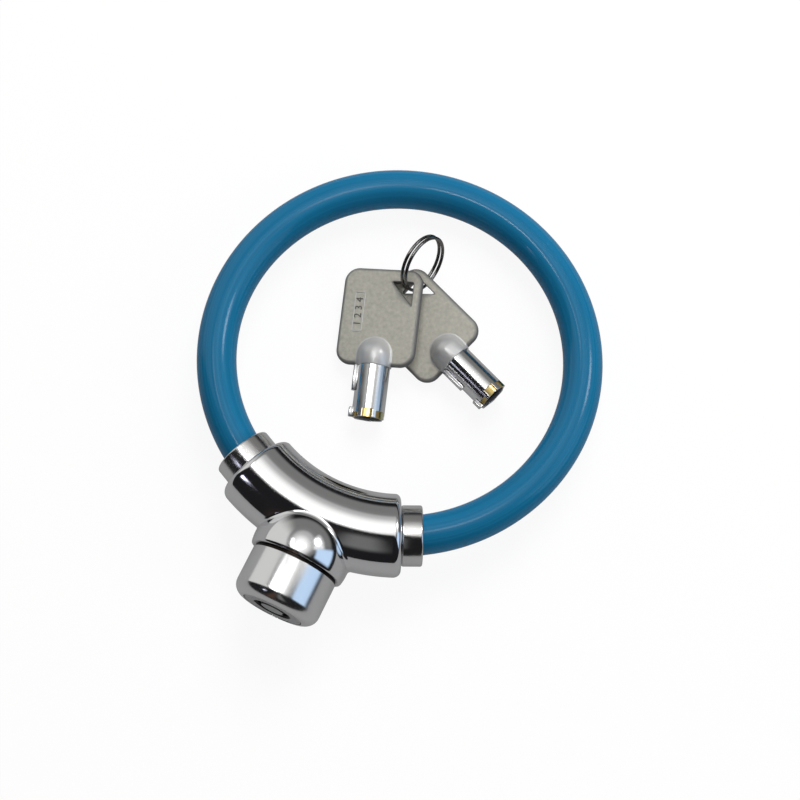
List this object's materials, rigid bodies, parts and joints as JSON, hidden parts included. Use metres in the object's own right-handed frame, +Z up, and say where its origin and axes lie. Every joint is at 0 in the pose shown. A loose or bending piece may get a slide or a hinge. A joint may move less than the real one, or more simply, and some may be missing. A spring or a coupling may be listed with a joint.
{
  "type": "cable lock",
  "caption": "Ring-shaped cable lock: a coated steel cable loop held in a curved chrome body with a tubular key cylinder, and keys on a split ring.",
  "frame": {"origin": "on the floor, at the centre of the object's footprint box", "axes": "+Z up from the floor; the lock's head points along -Y, tipped up by 4.1 degrees; +X is the side of the cable's free end"},
  "size_m": [0.123, 0.148, 0.0296],
  "materials": {
    "chrome": "polished chrome plate",
    "jacket": "glossy extruded vinyl jacket",
    "barrel_steel": "satin nickel",
    "zinc": "satin nickel-plated zinc casting",
    "bare_steel": "turned steel",
    "brass": "bare brass",
    "spring_steel": "drawn spring wire"
  },
  "bodies": {
    "lock": {"lock_body": "chrome", "anchor_ferrule": "chrome", "anchor_rod": "bare_steel", "anchor_pin": "bare_steel", "cable_jacket": "jacket", "cable_core": "bare_steel", "cylinder_cap": "chrome", "lock_barrel": "barrel_steel", "cylinder_pin": "bare_steel", "pin_housing": "brass", "pin_springs": "spring_steel"},
    "free_end": {"free_ferrule": "chrome", "locking_plug": "bare_steel"},
    "rotor_set": {"rotor": "barrel_steel", "locking_cam": "bare_steel", "locking_finger": "bare_steel", "cam_screw": "bare_steel"},
    "key_pin_set": {"key_pins": "brass"},
    "driver_pin_set": {"driver_pins": "brass"},
    "key_ring": {"split_ring": "barrel_steel"},
    "key_1": {"key_1_bow": "zinc", "key_1_barrel": "chrome"},
    "key_2": {"key_2_bow": "zinc", "key_2_barrel": "chrome"}
  },
  "joints": [
    {"name": "cable_flex", "type": "hinge", "parent": "lock", "child": "free_end", "pos_m": [-0.033, 0.05826, 0.0067], "axis": [0, 0.0715, 0.9974], "range_deg": [0, 30], "stiffness_Nm_per_rad": 0.6, "deforming": ["cable_jacket", "cable_core"]},
    {"name": "key_turn", "type": "hinge", "parent": "lock", "child": "rotor_set", "pos_m": [0, -0.06316, 0.01541], "axis": [0, -0.9974, 0.0715], "range_deg": [0, 51.43]},
    {"name": "key_pins_press", "type": "slide", "parent": "rotor_set", "child": "key_pin_set", "axis": [0, 0.9974, -0.0715], "range_m": [0, 0.0012], "stiffness_N_per_m": 200},
    {"name": "driver_pins_press", "type": "slide", "parent": "lock", "child": "driver_pin_set", "axis": [0, 0.9974, -0.0715], "range_m": [0, 0.0012], "deforming": ["pin_springs"]},
    {"name": "key_ring_lift", "type": "slide", "parent": "lock", "child": "key_ring", "axis": [0, 0, 1], "range_m": [0, 0.04]},
    {"name": "key_1_swing", "type": "hinge", "parent": "key_ring", "child": "key_1", "pos_m": [-0.00747, 0.03343, 0.01023], "axis": [-0.2206, -0.1552, 0.9629], "range_deg": [-35, 0]},
    {"name": "key_2_swing", "type": "hinge", "parent": "key_ring", "child": "key_2", "pos_m": [-0.0055, 0.03547, 0.00597], "axis": [-0.1203, -0.1948, 0.9734], "range_deg": [0, 18]}
  ],
  "couplings": [
    {"joint": "driver_pins_press", "follows": "key_pins_press", "ratio": 1}
  ]
}
